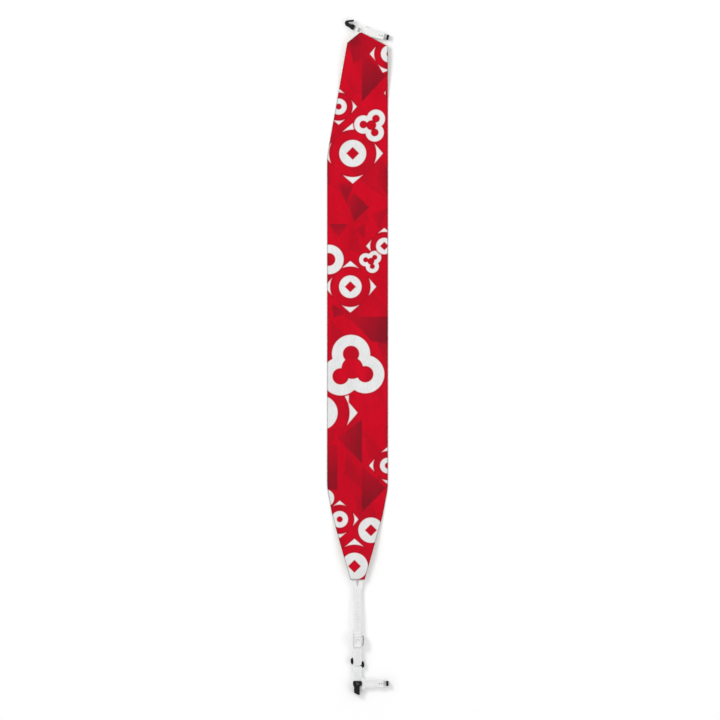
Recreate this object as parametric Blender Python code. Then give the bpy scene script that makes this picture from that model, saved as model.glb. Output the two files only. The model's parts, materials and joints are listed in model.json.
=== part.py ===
"""Climbing skin for one half of a splitboard, lying flat with its plush side up.

+Y runs towards the tip, +X towards the straight inner edge, +Z up out of the plush.
The origin is on the glue face, on the centreline. Sizes are in millimetres until MM turns them to metres.
"""

import math

import bmesh
import bpy
from mathutils import Matrix

MM = 0.001
CLEAR = 0.3
ROUND = 28

# The skin: a plush layer over an adhesive backing, in two halves that fold glue to glue.
SKIN_WIDTH = 140.0
TIP_END = 631.0
TAIL_END = -631.0
FOLD_Y = 20.0
TIP_TAPER_Y = TIP_END - 284.0
TIP_SHOULDER = (-23.6, TIP_END - 23.0)
TIP_APEX_WIDTH = 5.0
TIP_APEX_X = 8.0
TIP_CORNER_Y = TIP_END - 31.0
TAIL_TAPER_Y = TAIL_END + 211.0
TAIL_SHOULDER = (58.0, TAIL_END + 147.0)
TAIL_END_WIDTH = 33.2
CORNER_SMOOTH = 12.0
BACKING_T = 0.8
PLUSH_T = 1.6
PLUSH_EDGE = 0.5
BACKING_INSET = 1.0
BACKING_TIP_CUT = 10.0
RAMP_LEVEL_END = 46.0
RAMP_LENGTH = 130.0
STATION = 11.0

# The ends are raised, because the edge hooks under them reach down round the board.
LIP_T = 1.2
BOARD_EDGE_T = 6.8
ARM_T = 2.4
STRAP_T = 2.4
ARM_Z = LIP_T + BOARD_EDGE_T
END_Z = ARM_Z + max(ARM_T, STRAP_T) + CLEAR
PLATE_T = 1.0
PLATE_Z = END_Z + BACKING_T + CLEAR
PLUSH_END_Z = PLATE_Z + PLATE_T + CLEAR

# Rivets
RIVET_R = 2.0
RIVET_HEAD_R = 4.3
RIVET_HEAD_T = 0.9
DOME_R = 5.0
DOME_T = 1.2
SIDE_DOME_R = 3.8
SMALL_RIVET_R = 1.4
SMALL_HEAD_R = 2.6
SMALL_HEAD_T = 0.7

# The swinging arm, the same at the tip and at the side of the tail
ARM_ROOT_R = 9.5
ARM_FLANGE = (7.0, 14.0, 14.0)
ARM_ROOT_WIDTH = 19.4
ARM_END_WIDTH = 15.5
ARM_END = 60.0
ARM_RIB_H = 0.8
HOUSING_T = 0.8
HOUSING_START = 43.5
SLOT_DEPTH = 0.1
HOUSING_STEP = 0.3
HOOK_WIDTH = 8.8
HOOK_T = 1.2
HOOK_LEG_START = 46.0
HOOK_WEB_END = 68.0
HOOK_LIP_START = 55.0
BOOT_WIDTH = 11.3
BOOT_T = 3.5
BOOT_NOTCH = 1.4
HOOK_RIVETS = (50.0, 56.0)

# Tip hardware
TIP_PIVOT = (2.8, TIP_END + 6.7)
TIP_ARM_ANGLE = -14.4
TIP_ANCHOR_WIDTH = 38.0
TIP_ANCHOR_Y = TIP_END - 39.0
TIP_ANCHOR_R = 7.5
LINK_ANGLE = 155.0
LINK_R = 6.5
LINK_WIDTH = 7.0
STEM_R = 1.8
STEM_START = ARM_ROOT_R + 0.8
STEM_END = 24.0
J_THICK = 6.0
J_SHANK = 8.6
J_COLLAR = 12.4
J_COLLAR_LENGTH = 6.5
J_START = STEM_START + 0.5
J_LENGTH = 36.5
J_TIP = (19.0, 15.2)
J_LIMB = 4.0
J_BORE_R = STEM_R + CLEAR

# Tail strap, which passes through the buckle
STRAP_WIDTH = 18.5
FORK_WIDTH = 29.0
FORK_ROOT_Y = TAIL_END + 33.0
FORK_END_Y = TAIL_END - 23.0
FORK_GAP = 10.0
FORK_GAP_END_Y = TAIL_END - 17.0
STRAP_RISE = (TAIL_END - 31.0, TAIL_END - 91.0)
STRAP_END_Y = TAIL_END - 198.0
TAIL_ANCHOR_WIDTH = 31.0
TAIL_ANCHOR_LENGTH = 24.0
ANCHOR_RIVET_X = 9.8
ANCHOR_RIVET_Y = TAIL_END + 19.0

# Sliding tail assembly
HOOK_STRAP_T = 1.8
HOOK_STRAP_START = TAIL_END - 128.0
SIDE_PIVOT = (0.0, TAIL_END - 239.8)
HOOK_STRAP_END_R = STRAP_WIDTH / 2
BUCKLE_Y = (TAIL_END - 156.0, TAIL_END - 124.0)
BUCKLE_BASE_T = 1.4
BUCKLE_CHEEKS = (4.4, 6.6)
BUCKLE_RISE = 3.2
LEVER_T = 2.6
LEVER_PIN_Y = BUCKLE_Y[1] - 5.5
LEVER_PIN_R = 1.5
LEVER_BOSS_R = 2.8
LEVER_LENGTH = 25.0
LEVER_WINDOW = (10.0, 9.0)
BUCKLE_RIVETS = (BUCKLE_Y[1] - 10.0, BUCKLE_Y[1] - 24.0)
TOGGLE_Y = TAIL_END - 192.0
TOGGLE_TILT = -19.0
TOGGLE_R = 7.5
TOGGLE_REACH = 16.2
EAR_LENGTH = 17.0
EAR_WIDTH = 6.4
SIDE_ARM_ANGLE = 0.0
TAIL_HOOK_T = 2.2
STIFFENER_T = 0.8
TAIL_HOOK_HEAD = (-10.5, 10.4, SIDE_PIVOT[1] - 6.4, SIDE_PIVOT[1] + 6.3)
TAIL_HOOK_SHANK = (-8.0, 5.3)
TAIL_HOOK_END_Y = SIDE_PIVOT[1] - 26.0
TAIL_HOOK_SLANT = 5.0
TAIL_HOOK_WEB_T = 3.0
TAIL_HOOK_LIP_T = 2.0
TAIL_HOOK_LIP = 12.0
STIFFENER_TAB = (5.6, 10.0, SIDE_PIVOT[1] - 18.2)

# Levels that follow from the thicknesses above
HOOK_STRAP_TOP = ARM_Z + HOOK_STRAP_T
BUCKLE_BASE_Z = HOOK_STRAP_TOP + CLEAR
BUCKLE_BASE_TOP = BUCKLE_BASE_Z + BUCKLE_BASE_T
STRAP_HIGH_Z = BUCKLE_BASE_TOP + CLEAR
STRAP_HIGH_TOP = STRAP_HIGH_Z + STRAP_T
LEVER_Z = STRAP_HIGH_TOP + CLEAR
LEVER_PIN_Z = LEVER_Z + LEVER_BOSS_R
BUCKLE_TOP = LEVER_PIN_Z + BUCKLE_RISE
SIDE_ARM_Z = HOOK_STRAP_TOP + CLEAR
STIFFENER_Z = SIDE_ARM_Z + ARM_T + CLEAR
TAIL_HOOK_Z = STIFFENER_Z + STIFFENER_T + CLEAR
TAIL_HOOK_TOP = TAIL_HOOK_Z + TAIL_HOOK_T
TIP_LINK_T = BACKING_T

FINISHES = {
    "plush": ((0.60, 0.01, 0.03), 0.9, 0.0),
    "glue": ((0.83, 0.79, 0.68), 0.5, 0.0),
    "urethane": ((0.80, 0.80, 0.79), 0.4, 0.0),
    "nylon": ((0.88, 0.88, 0.87), 0.45, 0.0),
    "black_plastic": ((0.02, 0.02, 0.02), 0.45, 0.0),
    "blackened_steel": ((0.02, 0.02, 0.022), 0.4, 1.0),
    "steel": ((0.55, 0.55, 0.56), 0.3, 1.0),
    "rubber": ((0.015, 0.015, 0.015), 0.8, 0.0),
}


def clear_scene():
    for item in list(bpy.data.objects):
        bpy.data.objects.remove(item, do_unlink=True)


def finish_material(node_name, finish):
    colour, roughness, metallic = FINISHES[finish]
    material = bpy.data.materials.new(node_name + "_material")
    material.use_nodes = True
    shader = material.node_tree.nodes["Principled BSDF"]
    shader.inputs["Base Color"].default_value = (*colour, 1.0)
    shader.inputs["Roughness"].default_value = roughness
    shader.inputs["Metallic"].default_value = metallic
    return material


def add_object(node_name, mesh_builder, finish, smooth=False):
    """Turns a bmesh in millimetres into a named object in metres."""
    bmesh.ops.recalc_face_normals(mesh_builder, faces=mesh_builder.faces)
    bmesh.ops.scale(mesh_builder, vec=(MM, MM, MM), verts=mesh_builder.verts)
    mesh = bpy.data.meshes.new(node_name)
    mesh_builder.to_mesh(mesh)
    mesh_builder.free()
    for polygon in mesh.polygons:
        polygon.use_smooth = smooth
    item = bpy.data.objects.new(node_name, mesh)
    bpy.context.scene.collection.objects.link(item)
    if finish:
        item.data.materials.append(finish_material(node_name, finish))
    return item


def extruded(outline, low, high):
    """A prism on a plan outline, from one height to another."""
    builder = bmesh.new()
    below = [builder.verts.new((x, y, low)) for x, y in outline]
    above = [builder.verts.new((x, y, high)) for x, y in outline]
    builder.faces.new(below[::-1])
    builder.faces.new(above)
    count = len(outline)
    for i in range(count):
        j = (i + 1) % count
        builder.faces.new((below[i], below[j], above[j], above[i]))
    return builder


def turned(profile, centre):
    """A turned solid on a vertical axis, from (radius, height) pairs that begin and end at radius 0."""
    builder = bmesh.new()
    x0, y0 = centre
    rings = []
    for radius, height in profile:
        if radius == 0:
            rings.append([builder.verts.new((x0, y0, height))])
            continue
        angles = [2 * math.pi * k / ROUND for k in range(ROUND)]
        rings.append(
            [
                builder.verts.new((x0 + radius * math.cos(a), y0 + radius * math.sin(a), height))
                for a in angles
            ]
        )
    for lower, upper in zip(rings, rings[1:]):
        for k in range(ROUND):
            m = (k + 1) % ROUND
            corners = [lower[k % len(lower)], lower[m % len(lower)]]
            corners += [upper[m % len(upper)], upper[k % len(upper)]]
            unique = []
            for corner in corners:
                if corner not in unique:
                    unique.append(corner)
            builder.faces.new(unique)
    return builder


def helper(builder, label):
    """A hidden solid that only cuts or joins."""
    item = add_object(label, builder, None)
    item.hide_render = True
    item.display_type = "WIRE"
    return item


def combine(item, builder, operation, label):
    modifier = item.modifiers.new(label, "BOOLEAN")
    modifier.solver = "EXACT"
    modifier.operation = operation
    modifier.object = helper(builder, item.name + "_" + label)


def cut(item, builder, label):
    combine(item, builder, "DIFFERENCE", label)


def join(item, builder, label):
    combine(item, builder, "UNION", label)


def soften(item, width, segments=2):
    modifier = item.modifiers.new("edge", "BEVEL")
    modifier.width = width * MM
    modifier.segments = segments
    modifier.limit_method = "ANGLE"
    modifier.angle_limit = math.radians(50)
    modifier.use_clamp_overlap = True


def disc(centre, radius, low, high):
    return turned(((0, low), (radius, low), (radius, high), (0, high)), centre)


def box(x_span, y_span, z_span):
    (x0, x1), (y0, y1), (z0, z1) = x_span, y_span, z_span
    return extruded([(x0, y0), (x1, y0), (x1, y1), (x0, y1)], z0, z1)


def arc(centre, radius, start, end, steps):
    """Points on an arc, in degrees, ends included."""
    points = []
    for k in range(steps + 1):
        a = math.radians(start + (end - start) * k / steps)
        points.append((centre[0] + radius * math.cos(a), centre[1] + radius * math.sin(a)))
    return points


def rectangle(start, end, half):
    return [(start, -half), (end, -half), (end, half), (start, half)]


def placed(outline, origin, degrees):
    """An outline in its own (along, across) frame, turned and moved into the plan."""
    c, s = math.cos(math.radians(degrees)), math.sin(math.radians(degrees))
    return [(origin[0] + u * c - w * s, origin[1] + u * s + w * c) for u, w in outline]


def turn_and_move(builder, origin, degrees):
    turn = Matrix.Rotation(math.radians(degrees), 4, "Z")
    bmesh.ops.transform(builder, matrix=Matrix.Translation((*origin, 0.0)) @ turn, verts=builder.verts)
    return builder


# The skin


def between(value, pairs):
    """The value on a line through (place, value) pairs in rising order of place."""
    if value <= pairs[0][0]:
        return pairs[0][1]
    for (a, va), (b, vb) in zip(pairs, pairs[1:]):
        if value <= b:
            return va + (vb - va) * (value - a) / (b - a)
    return pairs[-1][1]


def left_corners():
    half = SKIN_WIDTH / 2
    return [
        (TAIL_END, -TAIL_END_WIDTH / 2),
        (TAIL_SHOULDER[1], -TAIL_SHOULDER[0]),
        (TAIL_TAPER_Y, -half),
        (TIP_TAPER_Y, -half),
        (TIP_SHOULDER[1], TIP_SHOULDER[0]),
        (TIP_END, TIP_APEX_X - TIP_APEX_WIDTH / 2),
    ]


def right_corners():
    half = SKIN_WIDTH / 2
    apex = TIP_APEX_X + TIP_APEX_WIDTH / 2
    return [
        (TAIL_END, TAIL_END_WIDTH / 2),
        (TAIL_SHOULDER[1], TAIL_SHOULDER[0]),
        (TAIL_TAPER_Y, half),
        (TIP_CORNER_Y, half),
        (TIP_END, apex),
    ]


def edge_x(y, corners):
    """The outline's x, rounded over at its corners, but left sharp close to either end."""
    reach = min(CORNER_SMOOTH, y - TAIL_END, TIP_END - y, abs(y - TIP_CORNER_Y), abs(y - TIP_SHOULDER[1]))
    samples = [between(y + reach * k / 4, corners) for k in range(-4, 5)]
    return sum(samples) / len(samples)


def ramp(y, low, high):
    """Height of a layer's underside: low in the middle, high at both ends, with an S-curve between."""
    from_end = min(TIP_END - y, y - TAIL_END)
    t = 1.0 - (from_end - RAMP_LEVEL_END) / RAMP_LENGTH
    t = min(1.0, max(0.0, t))
    return low + (high - low) * t * t * (3 - 2 * t)


def stations(start, end):
    marks = {start, end}
    for fixed in (TIP_CORNER_Y, TIP_SHOULDER[1], TIP_TAPER_Y, TAIL_TAPER_Y, TAIL_SHOULDER[1]):
        if start < fixed < end:
            marks.add(fixed)
    count = max(2, round((end - start) / STATION))
    for k in range(count + 1):
        y = start + (end - start) * k / count
        if min(abs(y - mark) for mark in marks) > STATION / 3:
            marks.add(y)
    return sorted(marks)


def strip(sections):
    """A closed solid through equal closed sections, each a list of points."""
    builder = bmesh.new()
    rings = [[builder.verts.new(point) for point in section] for section in sections]
    count = len(rings[0])
    for first, second in zip(rings, rings[1:]):
        for k in range(count):
            m = (k + 1) % count
            builder.faces.new((first[k], first[m], second[m], second[k]))
    builder.faces.new(rings[0][::-1])
    builder.faces.new(rings[-1])
    return builder


def skin_layer(node_name, start, end, inset, low, high, thickness, edge, finish):
    sections = []
    for y in stations(start, end):
        left = edge_x(y, left_corners()) + inset
        right = edge_x(y, right_corners()) - inset
        z = ramp(y, low, high)
        top = z + thickness
        sections.append(
            [
                (left, y, z),
                (right, y, z),
                (right, y, top - edge),
                (right - edge, y, top),
                (left + edge, y, top),
                (left, y, top - edge),
            ]
        )
    return add_object(node_name, strip(sections), finish, smooth=False)


def make_skin():
    plush_low = BACKING_T + CLEAR
    gap = CLEAR / 2
    skin_layer("tail_plush", TAIL_END, FOLD_Y - gap, 0, plush_low, PLUSH_END_Z, PLUSH_T, PLUSH_EDGE, "plush")
    skin_layer("tip_plush", FOLD_Y + gap, TIP_END, 0, plush_low, PLUSH_END_Z, PLUSH_T, PLUSH_EDGE, "plush")
    low_y = TAIL_END + BACKING_INSET
    high_y = TIP_END - BACKING_TIP_CUT
    edge = BACKING_T / 4
    tail = skin_layer("tail_backing", low_y, FOLD_Y - gap, BACKING_INSET, 0, END_Z, BACKING_T, edge, "glue")
    skin_layer("tip_backing", FOLD_Y + gap, high_y, BACKING_INSET, 0, END_Z, BACKING_T, edge, "glue")
    for side, x in (("left", -ANCHOR_RIVET_X), ("right", ANCHOR_RIVET_X)):
        hole = disc((x, ANCHOR_RIVET_Y), RIVET_R + CLEAR, END_Z - 1, END_Z + BACKING_T + 1)
        cut(tail, hole, "hole_" + side)


# Rivets


def headed_rivet(node_name, centre, radius, foot, foot_r, foot_t, top, dome_r=0.0, dome_z=0.0, dome_t=0.0):
    """A shaft with a flush foot below and, where it is given one, a domed head above."""
    profile = [(0, foot), (foot_r, foot), (foot_r, foot + foot_t), (radius, foot + foot_t)]
    finish = "blackened_steel" if node_name.startswith("side_pivot") else "steel"
    if dome_r:
        profile += [(radius, dome_z), (dome_r, dome_z), (dome_r, dome_z + dome_t * 0.3)]
        profile += [(dome_r * 0.75, dome_z + dome_t * 0.8), (dome_r * 0.35, dome_z + dome_t)]
        profile += [(0, dome_z + dome_t)]
    else:
        profile += [(radius, top), (0, top)]
    return add_object(node_name, turned(profile, centre), finish, smooth=False)


def rivet_hole(item, centre, radius, low, high, label, foot_r=0.0, foot_t=0.0):
    """A hole with running clearance and, where it is given one, a recess below for the rivet's foot."""
    profile = [(0, low - 1)]
    if foot_r:
        recess = low + foot_t + CLEAR
        profile += [(foot_r + CLEAR, low - 1), (foot_r + CLEAR, recess), (radius + CLEAR, recess)]
    else:
        profile += [(radius + CLEAR, low - 1)]
    profile += [(radius + CLEAR, high + 1), (0, high + 1)]
    cut(item, turned(profile, centre), label)


# The swinging arm


def arm_outline():
    root = ARM_ROOT_R
    inner, outer, half = ARM_FLANGE
    body = ARM_ROOT_WIDTH / 2
    tip = ARM_END_WIDTH / 2
    start = math.degrees(math.acos(inner / root))
    points = arc((0, 0), root, start, 360 - start, 20)
    points += [(inner, -half + 2), (inner + 2, -half), (outer - 2, -half), (outer + 2, -body)]
    points += [(ARM_END - 2, -tip), (ARM_END, -tip + 2), (ARM_END, tip - 2), (ARM_END - 2, tip)]
    points += [(outer + 2, body), (outer - 2, half), (inner + 2, half), (inner, half - 2)]
    return points


def make_arm(prefix, pivot, angle, z, foot):
    top = z + ARM_T
    builder = extruded(placed(arm_outline(), pivot, angle), z, top)
    plate = add_object(prefix + "_arm_plate", builder, "nylon")
    soften(plate, 0.35, 1)
    for name, side in (("left", 1), ("right", -1)):
        rib_y = side * (ARM_END_WIDTH / 2 - 2.2)
        rib = [(ARM_FLANGE[1] + 3, rib_y - 0.8), (HOUSING_START + 0.5, rib_y - 0.8)]
        rib += [(HOUSING_START + 0.5, rib_y + 0.8), (ARM_FLANGE[1] + 3, rib_y + 0.8)]
        join(plate, extruded(placed(rib, pivot, angle), top - 1, top + ARM_RIB_H), "rib_" + name)
    rivet_hole(plate, pivot, RIVET_R, z, top, "pivot", *foot)
    leg_z = top + CLEAR
    leg_top = leg_z + HOOK_T
    housing_top = leg_top + CLEAR + HOUSING_T
    half = ARM_END_WIDTH / 2 - 0.2
    housing = rectangle(HOUSING_START, ARM_END - HOUSING_STEP, half)
    join(plate, extruded(placed(housing, pivot, angle), top - 1, housing_top), "housing")
    slot = rectangle(HOOK_LEG_START - CLEAR, ARM_END + 2, HOOK_WIDTH / 2 + CLEAR)
    cut(plate, extruded(placed(slot, pivot, angle), top - SLOT_DEPTH, leg_top + CLEAR), "slot")
    hook = make_edge_hook(prefix, pivot, angle, leg_z, leg_top)
    for name, along in zip(("inner", "outer"), HOOK_RIVETS):
        centre = placed([(along, 0)], pivot, angle)[0]
        rivet_hole(plate, centre, SMALL_RIVET_R, z, housing_top, "hole_" + name)
        rivet_hole(hook, centre, SMALL_RIVET_R, leg_z, leg_top, "hole_" + name)
        foot_z = z + CLEAR
        rivet_name = prefix + "_hook_rivet_" + name
        headed_rivet(rivet_name, centre, SMALL_RIVET_R, foot_z, SMALL_RIVET_R, CLEAR, housing_top)
    make_boot(prefix, pivot, angle, leg_top)


def make_edge_hook(prefix, pivot, angle, leg_z, leg_top):
    """A folded steel strip: a leg on the arm, a web down the board's edge and a lip under the board."""
    half = HOOK_WIDTH / 2
    inner = HOOK_WEB_END - HOOK_T
    profile = [(HOOK_LEG_START, leg_z), (inner - 0.6, leg_z), (inner, leg_z - 0.6), (inner, LIP_T + 0.6)]
    profile += [(inner - 0.6, LIP_T), (HOOK_LIP_START, LIP_T), (HOOK_LIP_START, 0.0)]
    profile += [(HOOK_WEB_END - 1.4, 0.0), (HOOK_WEB_END, 1.4), (HOOK_WEB_END, leg_top - 1.4)]
    profile += [(HOOK_WEB_END - 1.4, leg_top), (HOOK_LEG_START, leg_top)]
    sections = [[(u, w, z) for u, z in profile] for w in (-half, half)]
    builder = turn_and_move(strip(sections), pivot, angle)
    return add_object(prefix + "_edge_hook", builder, "steel")


def make_boot(prefix, pivot, angle, leg_top):
    """The rubber cap over the outside of the hook, with a shallow notch between its two lobes."""
    half = BOOT_WIDTH / 2
    inner = HOOK_WEB_END + CLEAR
    outer = inner + BOOT_T
    top = leg_top + CLEAR
    plan = [(inner - 2.0, -half), (outer - 1.2, -half), (outer, -half + 1.2), (outer, -1.6)]
    plan += [(outer - BOOT_NOTCH, 0.0), (outer, 1.6), (outer, half - 1.2), (outer - 1.2, half)]
    plan += [(inner - 2.0, half)]
    builder = extruded(placed(plan, pivot, angle), 1.0, top + 1.4)
    boot = add_object(prefix + "_hook_boot", builder, "rubber")
    pocket = [(inner - 5, -HOOK_WIDTH / 2 - CLEAR), (inner, -HOOK_WIDTH / 2 - CLEAR)]
    pocket += [(inner, HOOK_WIDTH / 2 + CLEAR), (inner - 5, HOOK_WIDTH / 2 + CLEAR)]
    cut(boot, extruded(placed(pocket, pivot, angle), -1.0, top), "pocket")
    soften(boot, 0.4, 1)


# Tip hardware


def make_tip_anchor():
    x, y = TIP_PIVOT
    half = TIP_ANCHOR_WIDTH / 2
    outline = [(-half, TIP_ANCHOR_Y + 3), (-half + 3, TIP_ANCHOR_Y), (half - 3, TIP_ANCHOR_Y)]
    outline += [(half, TIP_ANCHOR_Y + 3), (half * 0.8, TIP_ANCHOR_Y + 16)]
    outline += arc((x, y), TIP_ANCHOR_R, -30, 215, 14)
    outline += [(-half * 0.8, TIP_ANCHOR_Y + 16)]
    plate = add_object("tip_anchor_plate", extruded(outline, PLATE_Z, PLATE_Z + PLATE_T), "nylon")
    rivet_hole(plate, TIP_PIVOT, RIVET_R, PLATE_Z, PLATE_Z + PLATE_T, "pivot")


def make_tip_link():
    half = LINK_WIDTH / 2
    start = math.degrees(math.asin(half / LINK_R))
    outline = arc((0, 0), LINK_R, start, 360 - start, 18)
    outline += [(STEM_START + 0.2, -half), (STEM_START + 0.2, half)]
    link = add_object(
        "tip_link_plate",
        extruded(placed(outline, TIP_PIVOT, LINK_ANGLE), END_Z, END_Z + TIP_LINK_T),
        "steel",
    )
    join(link, stem_builder(STEM_R, STEM_START - 0.4, STEM_END), "stem")
    rivet_hole(link, TIP_PIVOT, RIVET_R, END_Z, END_Z + TIP_LINK_T, "pivot")


def stem_builder(radius, start, end):
    """A round bar along the link, at the height of the link's middle."""
    middle = END_Z + TIP_LINK_T / 2
    sections = []
    for u in (start, end):
        ring = [2 * math.pi * k / ROUND for k in range(ROUND)]
        sections.append([(u, radius * math.cos(a), middle + radius * math.sin(a)) for a in ring])
    return turn_and_move(strip(sections), TIP_PIVOT, LINK_ANGLE)


def make_j_hook():
    half = J_SHANK / 2
    collar = J_COLLAR / 2
    bend = J_LENGTH
    tip_u, tip_w = J_TIP
    start = [(J_START, collar - 2), (J_START + 2, collar), (J_START + J_COLLAR_LENGTH, collar)]
    start += [(J_START + J_COLLAR_LENGTH + 3.5, half)]
    outline = [(u, -w) for u, w in start]
    outline += [(bend - 6.5, -half), (bend - 2.5, -half + 2.4), (bend, half - 2.2)]
    outline += [(bend - 0.4, half + 1.2), (bend - 3.2, half + 4.4)]
    outline += [(tip_u + 2.0, tip_w + 1.0), (tip_u, tip_w + 0.4), (tip_u - 0.4, tip_w - 1.6)]
    outline += [(tip_u + 0.8, tip_w - J_LIMB + 0.4), (bend - 7.6, half + 1.9), (bend - 8.6, half)]
    outline += reversed(start)
    outline = [(u, -w) for u, w in outline]
    middle = END_Z + TIP_LINK_T / 2
    builder = extruded(placed(outline, TIP_PIVOT, LINK_ANGLE), middle - J_THICK / 2, middle + J_THICK / 2)
    hook = add_object("tip_j_hook", builder, "black_plastic")
    cut(hook, stem_builder(J_BORE_R, J_START - 2, STEM_END + CLEAR), "bore")
    soften(hook, 0.9, 2)


def make_tip():
    make_tip_anchor()
    make_tip_link()
    make_j_hook()
    make_arm("tip", TIP_PIVOT, TIP_ARM_ANGLE, ARM_Z, (RIVET_HEAD_R, RIVET_HEAD_T))
    dome_z = PLATE_Z + PLATE_T + CLEAR
    headed_rivet(
        "tip_pivot_rivet",
        TIP_PIVOT,
        RIVET_R,
        ARM_Z,
        RIVET_HEAD_R,
        RIVET_HEAD_T,
        dome_z,
        DOME_R,
        dome_z,
        DOME_T,
    )


# Tail strap and its anchor


def strap_z(y):
    start, end = STRAP_RISE
    t = min(1.0, max(0.0, (start - y) / (start - end)))
    return ARM_Z + (STRAP_HIGH_Z - ARM_Z) * t * t * (3 - 2 * t)


def strap_half(y):
    pairs = [
        (STRAP_END_Y, STRAP_WIDTH / 2 - 2.5),
        (STRAP_END_Y + 2.5, STRAP_WIDTH / 2),
        (FORK_END_Y, STRAP_WIDTH / 2),
        (TAIL_END, FORK_WIDTH / 2),
        (FORK_ROOT_Y, FORK_WIDTH / 2),
    ]
    return between(y, pairs)


def make_ladder_strap():
    marks = [STRAP_END_Y, STRAP_END_Y + 2.5, STRAP_RISE[0], FORK_END_Y, TAIL_END, FORK_ROOT_Y]
    marks += [STRAP_RISE[1] + (STRAP_RISE[0] - STRAP_RISE[1]) * k / 12 for k in range(12)]
    edge = 0.4
    sections = []
    for y in sorted(marks):
        half = strap_half(y)
        low = strap_z(y)
        top = low + STRAP_T
        sections.append(
            [
                (-half + edge, y, low),
                (half - edge, y, low),
                (half, y, low + edge),
                (half, y, top - edge),
                (half - edge, y, top),
                (-half + edge, y, top),
                (-half, y, top - edge),
                (-half, y, low + edge),
            ]
        )
    strap = add_object("ladder_strap", strip(sections), "urethane")
    gap = [(-FORK_GAP / 2, FORK_ROOT_Y + 1), (-FORK_GAP / 2, TAIL_END), (-0.6, FORK_GAP_END_Y)]
    gap += [(0.6, FORK_GAP_END_Y), (FORK_GAP / 2, TAIL_END), (FORK_GAP / 2, FORK_ROOT_Y + 1)]
    cut(strap, extruded(gap, ARM_Z - 1, ARM_Z + STRAP_T + 1), "fork")
    for side, x in (("left", -ANCHOR_RIVET_X), ("right", ANCHOR_RIVET_X)):
        centre = (x, ANCHOR_RIVET_Y)
        top = ARM_Z + STRAP_T
        rivet_hole(strap, centre, RIVET_R, ARM_Z, top, "rivet_" + side, RIVET_HEAD_R - 1, RIVET_HEAD_T)


def make_tail_anchor():
    half = TAIL_ANCHOR_WIDTH / 2
    low_y = ANCHOR_RIVET_Y - TAIL_ANCHOR_LENGTH / 2
    span = (low_y, low_y + TAIL_ANCHOR_LENGTH)
    plate = add_object("tail_anchor_plate", box((-half, half), span, (PLATE_Z, PLATE_Z + PLATE_T)), "nylon")
    for side, x in (("left", -ANCHOR_RIVET_X), ("right", ANCHOR_RIVET_X)):
        centre = (x, ANCHOR_RIVET_Y)
        rivet_hole(plate, centre, RIVET_R, PLATE_Z, PLATE_Z + PLATE_T, "rivet_" + side)
        headed_rivet(
            "tail_anchor_rivet_" + side,
            centre,
            RIVET_R,
            ARM_Z,
            RIVET_HEAD_R - 1,
            RIVET_HEAD_T,
            PLATE_Z + PLATE_T,
        )


# Sliding tail assembly


def make_hook_strap():
    half = STRAP_WIDTH / 2
    outline = [(half, HOOK_STRAP_START), (-half, HOOK_STRAP_START)]
    outline += arc(SIDE_PIVOT, HOOK_STRAP_END_R, 180, 360, 14)
    strap = add_object("hook_strap", extruded(outline, ARM_Z, HOOK_STRAP_TOP), "urethane")
    rivet_hole(
        strap, SIDE_PIVOT, RIVET_R, ARM_Z, HOOK_STRAP_TOP, "pivot", RIVET_HEAD_R, RIVET_HEAD_T
    )
    for k, y in enumerate((*BUCKLE_RIVETS, TOGGLE_Y)):
        rivet_hole(
            strap, (0, y), SMALL_RIVET_R, ARM_Z, HOOK_STRAP_TOP, f"rivet_{k}", SMALL_HEAD_R, SMALL_HEAD_T
        )


def make_buckle():
    y0, y1 = BUCKLE_Y
    inner = STRAP_WIDTH / 2 + CLEAR
    left, right = BUCKLE_CHEEKS
    middle = (y0 + y1) / 2
    body = add_object(
        "buckle_body",
        box((-inner - left / 2, inner + right / 2), (y0 + 1, y1 - 1), (BUCKLE_BASE_Z, BUCKLE_BASE_TOP)),
        "nylon",
    )
    for name, face, width in (("left", -inner, -left), ("right", inner, right)):
        outline = [(face, y0), (face + width * 0.55, y0), (face + width * 0.9, y0 + 9)]
        outline += [(face + width, middle + 5), (face + width * 0.7, y1 - 2), (face, y1)]
        join(body, extruded(outline, BUCKLE_BASE_Z, BUCKLE_TOP), "cheek_" + name)
    pin_z = LEVER_PIN_Z
    cut(body, cross_bar(LEVER_PIN_R + CLEAR, -inner - left - 1, inner + right + 1, pin_z), "pin")
    for k, y in enumerate(BUCKLE_RIVETS):
        rivet_hole(body, (0, y), SMALL_RIVET_R, BUCKLE_BASE_Z, BUCKLE_BASE_TOP, f"rivet_{k}")
        name = ("upper", "lower")[k]
        headed_rivet(
            "buckle_rivet_" + name, (0, y), SMALL_RIVET_R, ARM_Z, SMALL_HEAD_R, SMALL_HEAD_T, BUCKLE_BASE_TOP
        )
    soften(body, 0.5, 1)
    pin = cross_bar(LEVER_PIN_R, -inner - left * 0.55, inner + right * 0.55, pin_z)
    add_object("buckle_pin", pin, "steel")
    make_lever(pin_z)


def cross_bar(radius, x0, x1, z):
    """A round bar along X at the lever's pin."""
    ring = [2 * math.pi * k / ROUND for k in range(ROUND)]
    sections = []
    for x in (x0, x1):
        sections.append([(x, LEVER_PIN_Y + radius * math.cos(a), z + radius * math.sin(a)) for a in ring])
    return strip(sections)


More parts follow.
